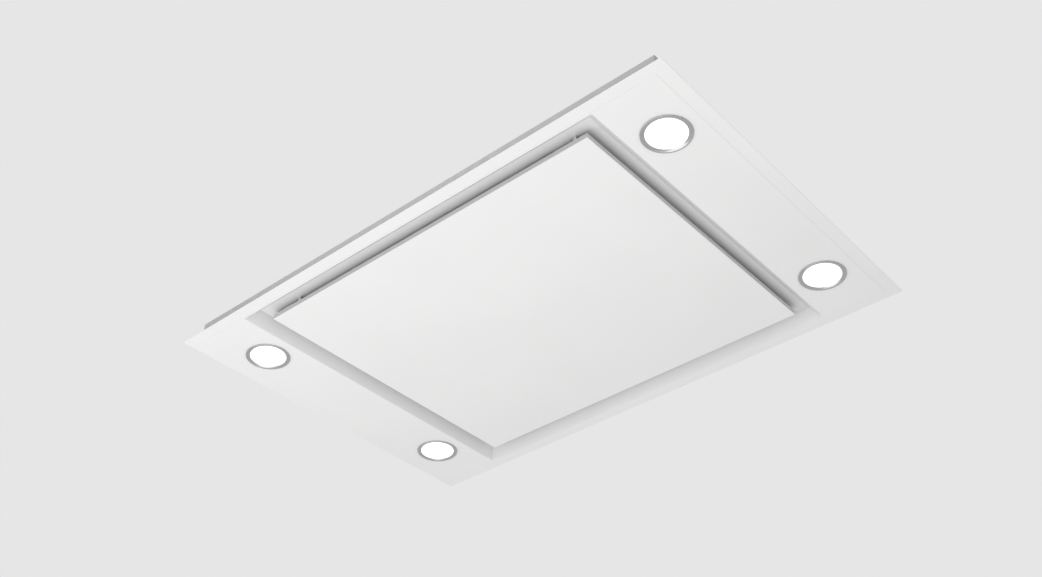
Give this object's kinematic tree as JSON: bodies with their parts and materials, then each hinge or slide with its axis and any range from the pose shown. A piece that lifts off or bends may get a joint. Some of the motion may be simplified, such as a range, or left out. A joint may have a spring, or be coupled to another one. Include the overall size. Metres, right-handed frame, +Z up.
{
  "type": "ceiling range hood",
  "caption": "White ceiling range hood with a drop-down panel, suction round the panel's rim, round lamps, a motor housing above and a round side duct outlet.",
  "frame": {"origin": "middle of the ceiling cut-out, level with the ceiling's lower face, which is the upper face of the visible plate", "axes": "+Z up into the ceiling, X along the 900 mm side, +Y towards the panel's hinges and the duct outlet"},
  "size_m": [0.9, 0.6, 0.2041],
  "materials": {
    "white_paint": "smooth satin white powder coat",
    "galvanised_sheet": "galvanised steel sheet",
    "steel_fitting": "zinc-plated steel",
    "aluminium": "brushed aluminium",
    "chrome_ring": "satin nickel-chrome ring",
    "frosted_lens": "opal diffuser, lit",
    "black_plastic": "black moulded plastic",
    "grey_plastic": "grey moulded plastic",
    "magnet": "potted ferrite magnet",
    "circuit_board": "green circuit board",
    "rubber": "black rubber"
  },
  "bodies": {
    "hood": {"face_plate": "white_paint", "body_tray": "galvanised_sheet", "motor_housing": "galvanised_sheet", "housing_lid": "galvanised_sheet", "catch_magnet_left": "magnet", "hinge_fixed_leaf_left": "steel_fitting", "hinge_pin_left": "steel_fitting", "catch_magnet_right": "magnet", "hinge_fixed_leaf_right": "steel_fitting", "hinge_pin_right": "steel_fitting", "filter_frame_left": "aluminium", "filter_core_left": "aluminium", "filter_frame_right": "aluminium", "filter_core_right": "aluminium", "lamp_bezel_1": "chrome_ring", "lamp_lens_1": "frosted_lens", "lamp_module_1": "aluminium", "lamp_bezel_2": "chrome_ring", "lamp_lens_2": "frosted_lens", "lamp_module_2": "aluminium", "lamp_bezel_3": "chrome_ring", "lamp_lens_3": "frosted_lens", "lamp_module_3": "aluminium", "lamp_bezel_4": "chrome_ring", "lamp_lens_4": "frosted_lens", "lamp_module_4": "aluminium", "fan_scroll": "black_plastic", "scroll_cover": "galvanised_sheet", "inlet_ring": "black_plastic", "motor_body": "steel_fitting", "bearing_lower": "steel_fitting", "bearing_upper": "steel_fitting", "rubber_mount_1": "rubber", "rubber_mount_2": "rubber", "rubber_mount_3": "rubber", "rubber_mount_4": "rubber", "outlet_collar": "black_plastic", "flap_pin": "steel_fitting", "hanging_bracket_1": "galvanised_sheet", "hanging_bracket_2": "galvanised_sheet", "hanging_bracket_3": "galvanised_sheet", "hanging_bracket_4": "galvanised_sheet", "control_box": "grey_plastic", "control_box_lid": "grey_plastic", "control_board": "circuit_board", "run_capacitor": "aluminium", "cable_gland": "black_plastic"},
    "panel": {"panel_skin": "white_paint", "panel_back": "galvanised_sheet", "strike_plate_left": "steel_fitting", "hinge_panel_leaf_left": "steel_fitting", "strike_plate_right": "steel_fitting", "hinge_panel_leaf_right": "steel_fitting"},
    "fan_rotor": {"impeller": "grey_plastic", "impeller_nut": "steel_fitting", "motor_shaft": "steel_fitting"},
    "left_flap": {"flap_left": "grey_plastic"},
    "right_flap": {"flap_right": "grey_plastic"},
    "left_latch": {"filter_latch_left": "black_plastic"},
    "right_latch": {"filter_latch_right": "black_plastic"}
  },
  "joints": [
    {"name": "panel_hinge", "type": "hinge", "parent": "hood", "child": "panel", "pos_m": [0, 0.2468, 0.01235], "axis": [1, 0, 0], "range_deg": [0, 90]},
    {"name": "fan_spin", "type": "hinge", "parent": "hood", "child": "fan_rotor", "pos_m": [-0.082, -0.00117, 0.11], "axis": [0, 0, 1], "continuous": true},
    {"name": "left_flap_swing", "type": "hinge", "parent": "hood", "child": "left_flap", "pos_m": [0, 0.15793, 0.1195], "axis": [0, 0, -1], "range_deg": [0, 78], "stiffness_Nm_per_rad": 0.02},
    {"name": "right_flap_swing", "type": "hinge", "parent": "hood", "child": "right_flap", "pos_m": [0, 0.15793, 0.1195], "axis": [0, 0, 1], "range_deg": [0, 78], "stiffness_Nm_per_rad": 0.02},
    {"name": "left_latch_slide", "type": "slide", "parent": "hood", "child": "left_latch", "axis": [0, 1, 0], "range_m": [0, 0.005], "stiffness_N_per_m": 150},
    {"name": "right_latch_slide", "type": "slide", "parent": "hood", "child": "right_latch", "axis": [0, 1, 0], "range_m": [0, 0.005], "stiffness_N_per_m": 150}
  ]
}
